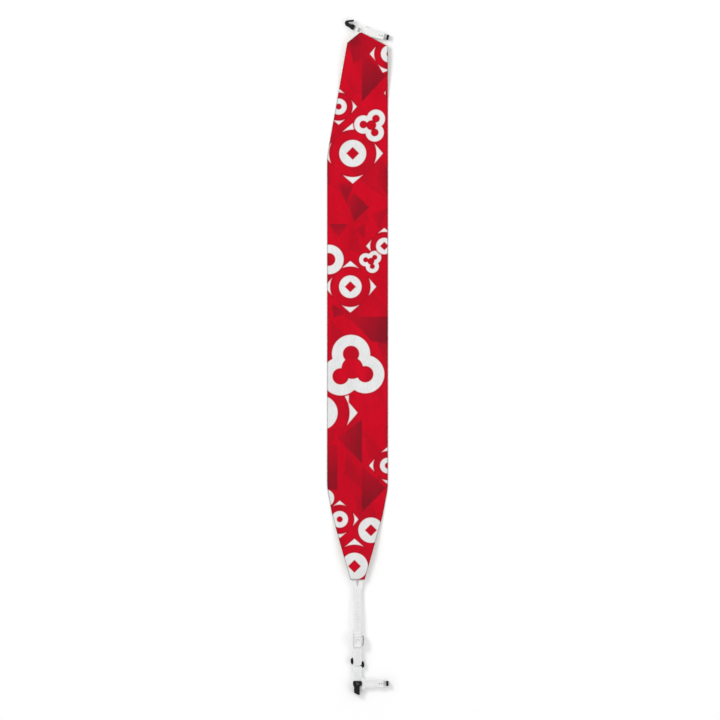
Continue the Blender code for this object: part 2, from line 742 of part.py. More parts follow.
def make_lever(pin_z):
    """A flat lever with a round nose at the pin and a window in its middle."""
    half = STRAP_WIDTH / 2
    tail_y = LEVER_PIN_Y - LEVER_LENGTH
    top = LEVER_Z + LEVER_T
    profile = [(LEVER_PIN_Y + b, pin_z + c) for b, c in arc((0, 0), LEVER_BOSS_R, -90, 150, 16)]
    profile += [(LEVER_PIN_Y - LEVER_BOSS_R - 2.5, top), (tail_y + 4, top), (tail_y, top + 1.2)]
    profile += [(tail_y - 1.2, top), (tail_y, LEVER_Z + 0.6), (tail_y + 1, LEVER_Z)]
    sections = [[(x, y, z) for y, z in profile] for x in (-half, half)]
    lever = add_object("buckle_lever", strip(sections), "nylon")
    cut(lever, cross_bar(LEVER_PIN_R + CLEAR, -half - 1, half + 1, pin_z), "pin")
    width, length = LEVER_WINDOW
    y0 = LEVER_PIN_Y - 8 - length
    cut(lever, box((-width / 2, width / 2), (y0, y0 + length), (LEVER_Z - 1, BUCKLE_TOP + 1)), "window")
    soften(lever, 0.3, 1)


def make_toggle():
    """A lock between the two straps, on its own rivet, with an upright ear each side, one lower down."""
    inner = TOGGLE_REACH - EAR_WIDTH
    half = EAR_LENGTH / 2
    right = [(inner, -TOGGLE_R * 0.6), (inner + 0.4, -half * 0.8), (inner + 2.2, -half)]
    right += [(TOGGLE_REACH - 2.4, -half * 0.72), (TOGGLE_REACH - 0.4, -half * 0.3)]
    right += [(TOGGLE_REACH, half * 0.2)]
    right += [(TOGGLE_REACH - 1.2, half * 0.66), (inner + 3.2, half), (inner + 1.2, half * 0.94)]
    right += [(inner + 0.6, half * 0.66), (inner, TOGGLE_R * 0.6)]
    left = [(-u, -w) for u, w in right]
    slope = math.tan(math.radians(TOGGLE_TILT))
    outline = [(u, TOGGLE_Y + w + slope * u) for u, w in right + left]
    top = STRAP_HIGH_Z - CLEAR
    toggle = add_object("lock_toggle", extruded(outline, HOOK_STRAP_TOP + CLEAR, top), "black_plastic")
    centre = (0, TOGGLE_Y)
    rivet_hole(toggle, centre, SMALL_RIVET_R, HOOK_STRAP_TOP + CLEAR, top, "rivet")
    soften(toggle, 0.3, 1)
    headed_rivet("toggle_rivet", centre, SMALL_RIVET_R, ARM_Z, SMALL_HEAD_R, SMALL_HEAD_T, top)


def make_tail_hook():
    x0, x1, y0, y1 = TAIL_HOOK_HEAD
    s0, s1 = TAIL_HOOK_SHANK
    end = TAIL_HOOK_END_Y
    slant = TAIL_HOOK_SLANT
    outline = [(x0, y1 - 2), (x0 + 2, y1), (x1 - 2, y1), (x1, y1 - 2), (x1, y0 + 3), (s1, y0)]
    outline += [(s1, end), (s1 - 3, end), (s0, end + slant), (s0, y0), (x0, y0 + 3)]
    hook = add_object("tail_hook", extruded(outline, TAIL_HOOK_Z, TAIL_HOOK_TOP), "black_plastic")
    web_y = end + slant + TAIL_HOOK_WEB_T
    web = [(s0, end + slant), (s1 - 3, end), (s1, end), (s1, web_y), (s0, web_y)]
    join(hook, extruded(web, 0, TAIL_HOOK_TOP - 0.2), "web")
    lip_y = end + slant + TAIL_HOOK_LIP
    lip = [(s0 + 0.5, web_y - 1), (s1 - 0.5, web_y - 1), (s1 - 0.5, lip_y - 1.5), (s1 - 2, lip_y)]
    lip += [(s0 + 2, lip_y), (s0 + 0.5, lip_y - 1.5)]
    join(hook, extruded(lip, 0, TAIL_HOOK_LIP_T), "lip")
    rivet_hole(hook, SIDE_PIVOT, RIVET_R, TAIL_HOOK_Z, TAIL_HOOK_TOP, "pivot")
    soften(hook, 0.4, 1)


def make_stiffener():
    """The steel plate under the tail hook, with a tab that shows beside its shank."""
    x0, x1, _, y1 = TAIL_HOOK_HEAD
    t0, t1, tab_y = STIFFENER_TAB
    outline = [(x0 + 1.5, y1 - 1.5), (x0 + 1.5, SIDE_PIVOT[1] - 7), (t0, SIDE_PIVOT[1] - 8)]
    outline += [(t0, tab_y), (t1, tab_y), (t1, y1 - 1.5)]
    top = STIFFENER_Z + STIFFENER_T
    plate = add_object("tail_hook_stiffener", extruded(outline, STIFFENER_Z, top), "steel")
    rivet_hole(plate, SIDE_PIVOT, RIVET_R, STIFFENER_Z, top, "pivot")


def make_tail():
    make_ladder_strap()
    make_tail_anchor()
    make_hook_strap()
    make_buckle()
    make_toggle()
    make_arm("side", SIDE_PIVOT, SIDE_ARM_ANGLE, SIDE_ARM_Z, ())
    make_stiffener()
    make_tail_hook()
    dome_z = TAIL_HOOK_TOP + CLEAR
    headed_rivet(
        "side_pivot_rivet",
        SIDE_PIVOT,
        RIVET_R,
        ARM_Z,
        RIVET_HEAD_R,
        RIVET_HEAD_T,
        dome_z,
        SIDE_DOME_R,
        dome_z,
        DOME_T,
    )


def main():
    clear_scene()
    make_skin()
    make_tip()
    make_tail()


main()
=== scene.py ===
"""Looks for the climbing skin: printed plush, tacky glue side, clear straps, mouldings, steel and rubber."""

import json
import math

import bmesh
import bpy
import numpy as np
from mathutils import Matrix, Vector


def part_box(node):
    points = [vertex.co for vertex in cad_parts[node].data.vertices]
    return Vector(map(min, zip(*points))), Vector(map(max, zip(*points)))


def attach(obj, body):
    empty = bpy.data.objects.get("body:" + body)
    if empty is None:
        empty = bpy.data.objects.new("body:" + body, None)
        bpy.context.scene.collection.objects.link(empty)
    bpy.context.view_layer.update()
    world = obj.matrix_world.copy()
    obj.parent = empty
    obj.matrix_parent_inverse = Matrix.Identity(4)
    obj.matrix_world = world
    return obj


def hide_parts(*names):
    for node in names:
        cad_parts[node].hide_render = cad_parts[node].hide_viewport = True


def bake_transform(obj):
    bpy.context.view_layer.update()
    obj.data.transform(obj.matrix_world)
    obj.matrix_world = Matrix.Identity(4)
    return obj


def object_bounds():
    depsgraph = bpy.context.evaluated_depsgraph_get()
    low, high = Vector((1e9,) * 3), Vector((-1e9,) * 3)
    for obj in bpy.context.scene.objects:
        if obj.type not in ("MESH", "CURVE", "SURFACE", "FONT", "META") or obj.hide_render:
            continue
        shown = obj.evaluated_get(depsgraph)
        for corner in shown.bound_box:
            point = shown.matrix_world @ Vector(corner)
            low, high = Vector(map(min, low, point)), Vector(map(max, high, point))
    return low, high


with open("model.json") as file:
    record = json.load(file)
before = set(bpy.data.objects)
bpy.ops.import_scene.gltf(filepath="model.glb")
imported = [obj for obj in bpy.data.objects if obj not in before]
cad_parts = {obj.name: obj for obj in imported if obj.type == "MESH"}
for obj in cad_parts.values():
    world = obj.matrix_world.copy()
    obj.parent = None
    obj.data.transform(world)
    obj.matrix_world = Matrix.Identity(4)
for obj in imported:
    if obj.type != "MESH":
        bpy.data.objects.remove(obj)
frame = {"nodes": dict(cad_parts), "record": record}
cad_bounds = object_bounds()
rng = np.random.default_rng(7)

MM = 0.001

# Camera: straight above, as a long lens sees it
VIEW_CENTRE = (0.0058, -0.1242)
VIEW_WIDTH = 1.663
CAMERA_HEIGHT = 12.0
CAMERA_FAR = 100.0
SENSOR = 36.0

# Lights: name, place from the middle of the view, disc size, power
LIGHTS = (
    ("key", (-2.2, 1.6, 3.0), 1.6, 62),
    ("fill", (2.6, -1.2, 2.6), 2.2, 22),
)
ROOM_LIGHT = 0.72
FLOOR_HALF = 12.0
FLOOR_GAP = 0.2 * MM
FLOOR_TONE = 0.97

# Plush sheet
ROW_STEP = 2.0 * MM
COLUMNS = 72
COLUMN_CROWDING = 0.35
PILE_NOISE = 0.10 * MM
EDGE_CROWN = 1.6 * MM
EDGE_DROP = 0.45 * EDGE_CROWN

# Glue sheet
GLUE_ROW_STEP = 6.0 * MM
GLUE_COLUMNS = 26

# A row of a layer's points that is narrower than this lies on one side of the strip only
ONE_SIDE = 2.0 * MM


# Materials

RED = (0.585, 0.0012, 0.0140)
RED_LIGHT = (0.640, 0.0020, 0.0170)
RED_DEEP = (0.430, 0.0030, 0.0150)
MAROON = (0.255, 0.0055, 0.0160)
WHITE_PRINT = (0.790, 0.800, 0.795)
PINK_RIM = (0.800, 0.420, 0.430)

# Where each tone of the print fades out, in millimetres from the edge of its shape
WHITE_EDGE = (-1.1, -0.3)
RIM = (0.0, 1.0)
OUTLINE = (2.4, 3.4)
BAND_EDGE = (-0.5, 0.5)
# Where the plush lightens from its cut edge inwards, in millimetres from that edge
SHADED_EDGE = (0.8, 3.0)

UNSTRETCHED = (1.0, 1.0, 1.0)
# The span that most values of a noise fall in
MIDDLE = (0.3, 0.7)


def node_material(name):
    material = bpy.data.materials.new(name)
    material.use_nodes = True
    tree = material.node_tree
    shader = tree.nodes["Principled BSDF"]
    return material, tree, shader


def add_node(tree, kind, **settings):
    node = tree.nodes.new(kind)
    for key, value in settings.items():
        setattr(node, key, value)
    return node


def mapped(tree, scale):
    """Object coordinates, multiplied by the scale on each axis."""
    coordinates = add_node(tree, "ShaderNodeTexCoord")
    mapping = add_node(tree, "ShaderNodeMapping")
    mapping.inputs["Scale"].default_value = scale
    tree.links.new(coordinates.outputs["Object"], mapping.inputs["Vector"])
    return mapping.outputs["Vector"]


def noise(tree, vector, scale, detail=3.0, roughness=0.6):
    node = add_node(tree, "ShaderNodeTexNoise")
    node.inputs["Scale"].default_value = scale
    node.inputs["Detail"].default_value = detail
    node.inputs["Roughness"].default_value = roughness
    tree.links.new(vector, node.inputs["Vector"])
    return node.outputs["Fac"]


def cells(tree, vector, scale):
    node = add_node(tree, "ShaderNodeTexVoronoi")
    node.inputs["Scale"].default_value = scale
    tree.links.new(vector, node.inputs["Vector"])
    return node.outputs["Distance"]


def map_range(tree, value, low, high, to_low, to_high, smooth=False):
    node = add_node(tree, "ShaderNodeMapRange")
    node.interpolation_type = "SMOOTHSTEP" if smooth else "LINEAR"
    node.inputs["From Min"].default_value = low
    node.inputs["From Max"].default_value = high
    node.inputs["To Min"].default_value = to_low
    node.inputs["To Max"].default_value = to_high
    tree.links.new(value, node.inputs["Value"])
    return node.outputs["Result"]


def blotches(tree, vector, scale, detail, values, span=MIDDLE, roughness=0.6):
    """Noise whose span of values is spread over the wanted ones."""
    return map_range(tree, noise(tree, vector, scale, detail, roughness), *span, *values)


def fade_out(tree, value, low, high):
    """1 below the low value, 0 above the high one, with a smooth step between."""
    return map_range(tree, value, low, high, 1.0, 0.0, True)


def mix_colour(tree, factor, first, second, mode="MIX"):
    node = add_node(tree, "ShaderNodeMix", data_type="RGBA", blend_type=mode)
    for value, socket in ((factor, node.inputs[0]), (first, node.inputs[6]), (second, node.inputs[7])):
        if isinstance(value, bpy.types.NodeSocket):
            tree.links.new(value, socket)
        elif isinstance(value, tuple):
            socket.default_value = (*value, 1.0)
        else:
            socket.default_value = value
    return node.outputs[2]


def multiply_grey(tree, factor, colour, value):
    """Darkens or lightens the colour by a value, as far as the factor says."""
    grey = add_node(tree, "ShaderNodeCombineColor")
    for name in ("Red", "Green", "Blue"):
        tree.links.new(value, grey.inputs[name])
    return mix_colour(tree, factor, colour, grey.outputs["Color"], "MULTIPLY")


def attribute(tree, name):
    node = add_node(tree, "ShaderNodeAttribute", attribute_name=name)
    return node.outputs["Fac"]


def bump(tree, shader, height, strength, distance, chained=None):
    node = add_node(tree, "ShaderNodeBump")
    node.inputs["Strength"].default_value = strength
    node.inputs["Distance"].default_value = distance
    tree.links.new(height, node.inputs["Height"])
    if chained is not None:
        tree.links.new(chained, node.inputs["Normal"])
    tree.links.new(node.outputs["Normal"], shader.inputs["Normal"])
    return node.outputs["Normal"]


def plush_material():
    material, tree, shader = node_material("printed_plush")
    wide = mapped(tree, (1.0, 0.35, 1.0))
    nap = mapped(tree, (1.0, 0.12, 1.0))
    white = attribute(tree, "white")
    colour = mix_colour(tree, blotches(tree, wide, 9.0, 2.0, (0.0, 1.0), (0.35, 0.65)), RED, RED_LIGHT)
    colour = mix_colour(tree, attribute(tree, "facet"), colour, MAROON)
    colour = mix_colour(tree, fade_out(tree, white, *OUTLINE), colour, RED_DEEP)
    colour = mix_colour(tree, fade_out(tree, attribute(tree, "band"), *BAND_EDGE), colour, RED_DEEP)
    colour = mix_colour(tree, fade_out(tree, white, *RIM), colour, PINK_RIM)
    colour = mix_colour(tree, fade_out(tree, white, *WHITE_EDGE), colour, WHITE_PRINT)
    fibre = blotches(tree, nap, 900.0, 3.0, (0.84, 1.05), (0.3, 0.75), 0.7)
    side = map_range(tree, attribute(tree, "edge"), *SHADED_EDGE, 0.55, 1.0, True)
    cloud = blotches(tree, wide, 34.0, 4.0, (0.93, 1.04))
    for value in (fibre, side, cloud):
        colour = multiply_grey(tree, 1.0, colour, value)
    tree.links.new(colour, shader.inputs["Base Color"])
    shader.inputs["Roughness"].default_value = 0.82
    shader.inputs["Sheen Weight"].default_value = 0.02
    shader.inputs["Sheen Roughness"].default_value = 0.45
    shader.inputs["Specular IOR Level"].default_value = 0.08
    pile = bump(tree, shader, noise(tree, nap, 1300.0, 4.0, 0.7), 0.55, 0.0006)
    bump(tree, shader, noise(tree, wide, 160.0, 3.0), 0.25, 0.0012, pile)
    return material


def glue_material():
    material, tree, shader = node_material("tacky_glue")
    flat = mapped(tree, UNSTRETCHED)
    spread = mapped(tree, (1.0, 0.08, 1.0))
    streak = blotches(tree, spread, 120.0, 4.0, (0.0, 1.0))
    colour = mix_colour(tree, streak, (0.60, 0.50, 0.30), (0.68, 0.58, 0.38))
    lint = map_range(tree, cells(tree, flat, 260.0), 0.05, 0.11, 0.55, 1.0, True)
    tree.links.new(multiply_grey(tree, 0.5, colour, lint), shader.inputs["Base Color"])
    tree.links.new(blotches(tree, flat, 45.0, 3.0, (0.22, 0.42)), shader.inputs["Roughness"])
    lumps = bump(tree, shader, noise(tree, flat, 300.0, 4.0), 0.35, 0.0004)
    bump(tree, shader, noise(tree, spread, 90.0), 0.25, 0.0008, lumps)
    return material


def plastic_material(name, light, dark, roughness, grain, depth, clear=False, specular=0.4):
    """A moulded plastic: slow colour change, spark-eroded grain, and scuffs that lighten it."""
    material, tree, shader = node_material(name)
    flat = mapped(tree, UNSTRETCHED)
    scratch = mapped(tree, (0.15, 1.0, 1.0))
    colour = mix_colour(tree, blotches(tree, flat, 35.0, 3.0, (0.0, 1.0)), dark, light)
    scuffed = tuple(min(1.0, channel * 1.6 + 0.008) for channel in light)
    scuffs = blotches(tree, scratch, 420.0, 2.0, (0.0, 0.35), (0.62, 0.74))
    colour = mix_colour(tree, scuffs, colour, scuffed)
    tree.links.new(colour, shader.inputs["Base Color"])
    worn = blotches(tree, flat, 180.0, 4.0, (roughness - 0.08, roughness + 0.12))
    tree.links.new(worn, shader.inputs["Roughness"])
    shader.inputs["Specular IOR Level"].default_value = specular
    if clear:
        shader.inputs["Subsurface Weight"].default_value = 0.25
        shader.inputs["Subsurface Radius"].default_value = (0.003, 0.003, 0.003)
        shader.inputs["Subsurface Scale"].default_value = 0.6
        shader.inputs["Coat Weight"].default_value = 0.15
    bump(tree, shader, cells(tree, flat, grain), 0.22, depth)
    return material


def steel_material():
    material, tree, shader = node_material("tumbled_steel")
    flat = mapped(tree, UNSTRETCHED)
    brushed = mapped(tree, (1.0, 0.05, 1.0))
    tone = blotches(tree, flat, 60.0, 3.0, (0.0, 1.0))
    colour = mix_colour(tree, tone, (0.42, 0.42, 0.43), (0.62, 0.62, 0.63))
    tree.links.new(colour, shader.inputs["Base Color"])
    shader.inputs["Metallic"].default_value = 1.0
    tree.links.new(blotches(tree, flat, 220.0, 4.0, (0.22, 0.42)), shader.inputs["Roughness"])
    bump(tree, shader, noise(tree, brushed, 1500.0, 3.0), 0.2, 0.0002)
    return material


def blackened_material():
    material, tree, shader = node_material("blackened_steel")
    flat = mapped(tree, UNSTRETCHED)
    rubbed = blotches(tree, flat, 160.0, 4.0, (0.0, 0.5), (0.5, 0.75))
    colour = mix_colour(tree, rubbed, (0.016, 0.016, 0.018), (0.09, 0.09, 0.095))
    tree.links.new(colour, shader.inputs["Base Color"])
    tree.links.new(blotches(tree, flat, 300.0, 3.0, (0.3, 0.5)), shader.inputs["Roughness"])
    bump(tree, shader, noise(tree, flat, 700.0, 3.0), 0.2, 0.0002)
    return material


def rubber_material():
    material, tree, shader = node_material("matt_rubber")
    flat = mapped(tree, UNSTRETCHED)
    dust = blotches(tree, flat, 90.0, 4.0, (0.0, 0.4), (0.45, 0.75))
    colour = mix_colour(tree, dust, (0.007, 0.007, 0.008), (0.022, 0.022, 0.022))
    tree.links.new(colour, shader.inputs["Base Color"])
    shader.inputs["Roughness"].default_value = 0.75
    shader.inputs["Specular IOR Level"].default_value = 0.2
    bump(tree, shader, noise(tree, flat, 900.0, 4.0), 0.3, 0.0003)
    return material


# The record's material slots, and the two finishes that only the moulded relief has: a white one, and a grey
# one that is painted shade on the buckle's right cheek
MATERIALS = {
    "plush": plush_material(),
    "glue": glue_material(),
    "strap": plastic_material(
        "clear_urethane", (0.86, 0.865, 0.86), (0.77, 0.78, 0.78), 0.34, 2600.0, 0.0002, clear=True
    ),
    "nylon": plastic_material(
        "white_nylon", (0.84, 0.84, 0.83), (0.78, 0.78, 0.78), 0.42, 3200.0, 0.0002, clear=True
    ),
    "black_plastic": plastic_material(
        "black_nylon", (0.012, 0.012, 0.013), (0.005, 0.005, 0.006), 0.5, 2400.0, 0.0003, specular=0.16
    ),
    "blackened_steel": blackened_material(),
    "steel": steel_material(),
    "rubber": rubber_material(),
    "relief": plastic_material(
        "moulded_relief", (0.86, 0.86, 0.85), (0.78, 0.78, 0.78), 0.3, 2600.0, 0.0002, clear=True
    ),
    # A grey nylon for the buckle's right cheek: painted shade, not the plastic's own colour
    "painted_shade_pad": plastic_material(
        "painted_shade_nylon", (0.30, 0.30, 0.31), (0.20, 0.20, 0.21), 0.5, 2600.0, 0.0002
    ),
}


# The printed pattern, as distances in millimetres: below zero is inside. Its shapes are plain rings, clovers
# of three lobes, curved darts round a circle, and straight-sided facets.
FAR = 1e3
DART_SIZE = 0.43
DART_POINT = 0.62
DART_ROOT = 0.90
BANDED_REACH = 20.0
BAND_INSET = 3.0
BAND_HALF = 0.9
FACET_FAINTEST = 0.35


def disc_distance(points, centre, radius):
    return np.hypot(points[:, 0] - centre[0], points[:, 1] - centre[1]) - radius


def facet_distance(points, corners):
    """Distance to a convex shape with straight sides."""
    corners = np.array(corners, float)
    middle = corners.mean(axis=0)
    result = np.full(len(points), -FAR)
    for start, end in zip(corners, np.roll(corners, -1, axis=0)):
        along = (end - start) / np.hypot(*(end - start))
        outward = np.array((along[1], -along[0]))
        if (middle - start) @ outward > 0:
            outward = -outward
        result = np.maximum(result, (points - start) @ outward)
    return result


def diamond_distance(points, centre, reach):
    away = np.abs(points[:, 0] - centre[0]) + np.abs(points[:, 1] - centre[1])
    return (away - reach) * math.sqrt(0.5)


def dart_distance(points, centre, reach, angle):
    """A curved dart that points away from a circle: a triangle, hollowed by the circle."""
    turn = math.radians(angle)
    outward = np.array((math.cos(turn), math.sin(turn)))
    sideways = np.array((-outward[1], outward[0]))
    size = reach * DART_SIZE
    point = np.array(centre) + (reach + size * DART_POINT) * outward
    root = np.array(centre) + reach * DART_ROOT * outward
    triangle = (point, root + size * sideways, root - size * sideways)
    return np.maximum(facet_distance(points, triangle), -disc_distance(points, centre, reach))


# Each ring: centre, radius, eye radius (below zero for a square eye on its corner), reach of its darts, the
# darts' angles. Radius 0 has darts only.
RINGS = (
    ((-11.0, 353.0), 31.0, -15.0, 55.0, (0, 90, 180, 270)),
    ((-43.5, 461.0), 18.5, 7.0, 33.0, (0, 90, 270)),
    ((74.0, 582.0), 20.0, 7.0, 36.0, (180, 250)),
    ((74.0, 492.0), 0.0, 0.0, 10.0, (180,)),
    ((-66.0, 108.0), 34.0, 15.0, 0.0, ()),
    ((62.0, 139.0), 19.0, -10.0, 33.0, (90, 180)),
    ((-16.5, 45.0), 26.0, -13.0, 47.0, (0, 90, 180, 270)),
    ((-86.0, -246.0), 40.0, 14.0, 68.0, (0, 40)),
    ((70.0, -368.0), 18.0, 7.0, 34.0, (90, 180, 270)),
    ((-74.0, -443.0), 20.0, 8.0, 0.0, ()),
    ((-41.0, -492.0), 19.0, 7.0, 34.0, (0, 90, 270)),
    ((31.0, -517.0), 29.0, -14.0, 0.0, ()),
    ((-7.0, -600.0), 31.0, -15.0, 50.0, (90,)),
)

# Each clover: centre, distance of its lobes, lobe radius, eye radius, core radius, the lobes' angles
CLOVERS = (
    ((32.0, 418.0), 18.5, 21.0, 9.0, 11.5, (55, 175, 295)),
    ((31.0, 104.0), 12.5, 15.0, 6.0, 8.0, (45, 165, 285)),
    ((-12.0, -143.0), 33.0, 44.0, 19.0, 25.0, (95, 215, 335)),
)
# The gap that a ring or a clover keeps to the shapes behind it
KEEP_CLEAR = 3.2

# Each facet: its corners, the faintest one first, then how dark it is, from 0 to 1
FACETS = (
    (((10, 592), (66, 532), (10, 472)), 1.0),
    (((10, 472), (10, 592), (-2, 560)), 0.25),
    (((60, 600), (3, 631), (-24, 607), (-8, 560)), 0.6),
    (((14, 592), (0, 630), (-22, 612), (0, 585)), 0.9),
    (((-26, 286), (-46, 286), (-26, 236), (-8, 286)), 0.75),
    (((-24, 240), (-8, 262), (27, 228), (-8, 196)), 0.9),
    (((38, 286), (70, 330), (70, 256)), 0.6),
    (((-44, 158), (-66, 190), (-22, 190)), 0.8),
    (((-8, 176), (16, 190), (16, 158)), 0.6),
    (((30, 212), (70, 226), (52, 176)), 0.5),
    (((-20, -16), (-58, 4), (-56, -26)), 0.8),
    (((-22, -24), (70, -24), (70, -84), (34, -82)), 1.0),
    (((70, -150), (70, -84), (44, -80)), 0.6),
    (((-47, -304), (10, -262), (10, -362)), 1.0),
    (((-70, -320), (-47, -320), (-47, -424), (-70, -424)), 0.9),
    (((10, -367), (66, -420), (10, -476)), 1.0),
    (((-70, -120), (-48, -170), (-70, -214)), 0.4),
)

# The faint facets behind all of it: a net of triangles, each with its own tone
NET_STEP = (38.0, 52.0)
NET_ROWS = 30
NET_COLUMNS = 6
NET_JITTER = 0.34
NET_DARKEST = 0.42
NET_CONTRAST = 2.2


def net_tone(points):
    """How dark the net's triangle under each point is."""
    rows, columns = np.mgrid[0:NET_ROWS, 0:NET_COLUMNS]
    net = np.stack([columns * NET_STEP[0], rows * NET_STEP[1]], axis=-1).astype(float)
    net += rng.uniform(-NET_JITTER, NET_JITTER, net.shape) * NET_STEP
    net -= (NET_STEP[0] * (NET_COLUMNS - 1) / 2, NET_STEP[1] * (NET_ROWS - 1) / 2)
    tone = np.zeros(len(points))
    for row in range(NET_ROWS - 1):
        for column in range(NET_COLUMNS - 1):
            near_left, near_right = net[row, column : column + 2]
            far_left, far_right = net[row + 1, column : column + 2]
            for triangle in ((near_left, near_right, far_left), (near_right, far_right, far_left)):
                dark = NET_DARKEST * rng.random() ** NET_CONTRAST
                tone = np.where(facet_distance(points, triangle) < 0, dark, tone)
    return tone


def ring_parts(points, centre, radius, eye):
    """Distances to a ring's outer disc and to the ring itself."""
    outer = disc_distance(points, centre, radius)
    hole = diamond_distance(points, centre, -eye) if eye < 0 else disc_distance(points, centre, eye)
    return outer, np.maximum(outer, -hole)


def clover_parts(points, centre, spread, radius, eye, core, angles):
    """Distances to a clover's outer shape and to the clover without its eyes and core."""
    outer = np.full(len(points), FAR)
    hole = disc_distance(points, centre, core)
    for angle in angles:
        turn = math.radians(angle)
        lobe = (centre[0] + spread * math.cos(turn), centre[1] + spread * math.sin(turn))
        outer = np.minimum(outer, disc_distance(points, lobe, radius))
        hole = np.minimum(hole, disc_distance(points, lobe, eye))
    return outer, np.maximum(outer, -hole)


def facet_tones(points):
    """How dark the print's ground is: the net, and each facet, which darkens away from its first corner."""
    tone = net_tone(points)
    for corners, dark in FACETS:
        inside = facet_distance(points, corners) < 0
        faint = np.array(corners[0], float)
        far = np.array(corners[1:], float).mean(axis=0) - faint
        along = np.clip((points - faint) @ far / (far @ far), 0.0, 1.0)
        shade = dark * (FACET_FAINTEST + (1 - FACET_FAINTEST) * along)
        tone = np.where(inside, np.maximum(tone, shade), tone)
    return tone


def print_fields(points):
    """White shapes, the bands round the rings, and how dark the facets are, at points in millimetres."""
    white = np.full(len(points), FAR)
    band = np.full(len(points), FAR)
    for centre, _, _, reach, angles in RINGS:
        for angle in angles:
            white = np.minimum(white, dart_distance(points, centre, reach, angle))
        if reach > BANDED_REACH:
            circle = disc_distance(points, centre, reach - BAND_INSET)
            band = np.minimum(band, np.abs(circle) - BAND_HALF)
    shapes = [clover_parts(points, *clover) for clover in CLOVERS]
    shapes += [ring_parts(points, *ring[:3]) for ring in RINGS if ring[1]]
    for outer, shape in shapes:
        white = np.minimum(np.maximum(white, KEEP_CLEAR - outer), shape)
    return {"white": white, "band": band, "facet": facet_tones(points)}


# The sheets, which follow the CAD layers they stand for


def layer_profile(names):
    """Left edge, right edge, underside and top of a CAD layer along the strip, each as (y, value) rows."""
    rows = {}
    for name in names:
        for vertex in frame["nodes"][name].data.vertices:
            x, y, z = vertex.co
            rows.setdefault(round(y, 5), []).append((x, z))
    left, right, low, high = [], [], [], []
    for y in sorted(rows):
        xs, zs = zip(*rows[y])
        both = max(xs) - min(xs) > ONE_SIDE
        if both or max(xs) < 0:
            left.append((y, min(xs)))
        if both or min(xs) > 0:
            right.append((y, max(xs)))
        low.append((y, min(zs)))
        high.append((y, max(zs)))
    return [np.array(side) for side in (left, right, low, high)]


def at_stations(profile, step):
    """The profile at even steps, with the CAD's own ends."""
    start, end = profile[2][0, 0], profile[2][-1, 0]
    ys = np.append(np.arange(start, end - step / 2, step), end)
    return [ys] + [np.interp(ys, side[:, 0], side[:, 1]) for side in profile]


def mesh_object(name, points, faces, material):
    """A mesh object whose faces all point outwards."""
    mesh = bpy.data.meshes.new(name)
    mesh.from_pydata(points, [], faces)
    turned = bmesh.new()
    turned.from_mesh(mesh)
    bmesh.ops.recalc_face_normals(turned, faces=turned.faces)
    turned.to_mesh(mesh)
    turned.free()
    mesh.materials.append(MATERIALS[material])
    item = bpy.data.objects.new(name, mesh)
    bpy.context.scene.collection.objects.link(item)
    return item


def column_shares(columns):
    """Places across the strip, from 0 to 1, closer together towards its sides."""
    even = np.linspace(0.0, 1.0, columns)
    return 0.5 - 0.5 * np.cos(math.pi * even) * (1 - COLUMN_CROWDING * np.sin(math.pi * even) ** 2)


def sheet_faces(rows, columns):
    """The fine grid, the plain side under or over it, the two long sides and the two ends."""
    left = rows * columns
    right = left + rows
    faces = []
    for row in range(rows - 1):
        near = row * columns
        far = near + columns
        faces += [(near + k, near + k + 1, far + k + 1, far + k) for k in range(columns - 1)]
        faces.append((left + row, left + row + 1, right + row + 1, right + row))
        faces.append((near, far, left + row + 1, left + row))
        faces.append((far - 1, right + row, right + row + 1, far + columns - 1))
    last = (rows - 1) * columns
    faces.append((*range(columns), right, left))
    faces.append((*range(last + columns - 1, last - 1, -1), left + rows - 1, right + rows - 1))
    return faces


def napped(top, edge):
    """The plush's own surface: an uneven pile that rolls down at every edge."""
    rolled = EDGE_DROP * np.clip(1 - edge / EDGE_CROWN, 0, 1) ** 2
    return top - rolled + rng.normal(0.0, PILE_NOISE, edge.shape) * (edge > EDGE_CROWN)


def sheet_mesh(name, nodes, material, step, columns, with_nap):
    """One closed sheet over both halves of a layer. Its fine grid is on top with a nap, or else below."""
    ys, left, right, low, high = at_stations(layer_profile(nodes), step)
    widths = right - left
    xs = left[:, None] + widths[:, None] * column_shares(columns)
    to_side = np.minimum(xs - left[:, None], right[:, None] - xs)
    edge = np.minimum(to_side, np.minimum(ys - ys[0], ys[-1] - ys)[:, None])
    fine = napped(high[:, None], edge) if with_nap else np.repeat(low[:, None], columns, 1)
    grid = np.stack([xs, np.repeat(ys[:, None], columns, 1), fine], axis=-1).reshape(-1, 3)
    plain = low if with_nap else high
    rims = [np.stack([side, ys, plain], axis=-1) for side in (left, right)]
    points = np.concatenate([grid, *rims])
    sheet = mesh_object(name, points.tolist(), sheet_faces(len(ys), columns), material)
    for polygon in sheet.data.polygons:
        polygon.use_smooth = True
    flat = (float(widths.max()), float(ys[-1] - ys[0]))
    area = float(((widths[1:] + widths[:-1]) / 2 * np.diff(ys)).sum())
    return sheet, points, np.append(edge, np.zeros(2 * len(ys))), flat, area


def set_field(mesh, name, values):
    field = mesh.attributes.new(name, "FLOAT", "POINT")
    field.data.foreach_set("value", np.asarray(values, np.float32))


def make_plush():
    names = ("tail_plush", "tip_plush")
    plush, points, edge, flat, area = sheet_mesh("plush_sheet", names, "plush", ROW_STEP, COLUMNS, True)
    for field, values in print_fields(points[:, :2] / MM).items():
        set_field(plush.data, field, values)
    set_field(plush.data, "edge", edge / MM)
    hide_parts(*names)
    return plush


def make_glue():
    names = ("tail_backing", "tip_backing")
    glue, _, _, flat, area = sheet_mesh("glue_sheet", names, "glue", GLUE_ROW_STEP, GLUE_COLUMNS, False)
    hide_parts(*names)
    return glue


# Moulded relief on the straps and the buckle, in millimetres. A pad is rows of (y, left, right, height). On
# the straps the heights stay under the 0.3 mm that the moving parts clear them by.
SINK = 0.05
PAD_EDGE = 0.02
PAD_HEIGHT = 0.26
PAD_INSET = 0.25

# Each start and end below is measured from the tail end of the CAD node that the relief lies on

